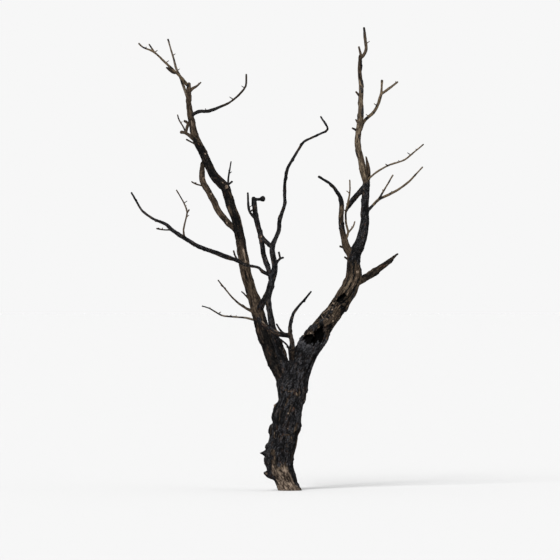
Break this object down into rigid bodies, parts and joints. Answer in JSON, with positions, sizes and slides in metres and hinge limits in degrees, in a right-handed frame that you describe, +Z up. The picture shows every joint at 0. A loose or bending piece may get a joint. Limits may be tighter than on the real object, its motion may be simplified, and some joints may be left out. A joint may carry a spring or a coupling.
{
  "type": "dead tree",
  "caption": "Standing dead tree, scorched by fire: leaning trunk that forks into long crooked boughs with a hollow, broken limbs and bare twigs.",
  "frame": {"origin": "middle of the flat cut under the trunk, at ground level", "axes": "+Z up along the tree's height, -Y towards the broad face of the crown, +X to the right of someone who looks at that face"},
  "size_m": [3.146, 1.4523, 4.9989],
  "materials": {
    "charred_bark": "rough charred bark, cracked into long plates",
    "scorched_bark": "scorched brown bark, charred along its edges",
    "pale_wood": "weathered pale brown wood",
    "tan_wood": "bare weathered tan wood",
    "charred_twigs": "charred fine twigs",
    "scorched_twigs": "scorched brown twigs",
    "tan_twigs": "bare weathered tan twigs"
  },
  "bodies": {
    "root": {"bough_peg_twigs": "charred_twigs", "centre_bough": "charred_bark", "centre_join": "charred_bark", "centre_left_limb": "charred_bark", "centre_peg_twigs": "scorched_twigs", "centre_strand": "charred_bark", "crossing_limb": "charred_bark", "crossing_prong_twigs": "charred_twigs", "crotch_limb": "charred_bark", "crotch_thin_twigs": "charred_twigs", "hanging_limb": "charred_bark", "hook_lower_rung": "scorched_bark", "hook_twigs": "scorched_twigs", "inner_twigs": "tan_twigs", "leader_lower_twigs": "tan_twigs", "leader_middle_twigs": "tan_twigs", "leader_peg_twigs": "tan_twigs", "leader_splinter": "tan_wood", "left_bough": "scorched_bark", "left_cluster_twigs": "scorched_twigs", "left_forked_twigs": "tan_twigs", "left_high_twigs": "tan_twigs", "left_little_twigs": "tan_twigs", "left_low_twigs": "tan_twigs", "left_prong_twigs": "tan_twigs", "left_side_bough": "pale_wood", "left_tip_twigs": "tan_twigs", "left_top_twigs": "scorched_twigs", "long_left_limb": "charred_bark", "long_limb_peg_twigs": "scorched_twigs", "long_limb_split_twigs": "scorched_twigs", "long_limb_strand": "charred_bark", "long_limb_under_twigs": "tan_twigs", "long_limb_upright_twigs": "tan_twigs", "right_bough": "charred_bark", "right_broken_limb": "scorched_bark", "right_fine_twigs": "tan_twigs", "right_fork_twigs": "tan_twigs", "right_high_twigs": "tan_twigs", "right_inner_limb": "charred_bark", "right_top_twigs": "scorched_twigs", "side_bough_twigs": "tan_twigs", "trunk": "charred_bark", "upright_twigs": "tan_twigs"}
  },
  "joints": []
}
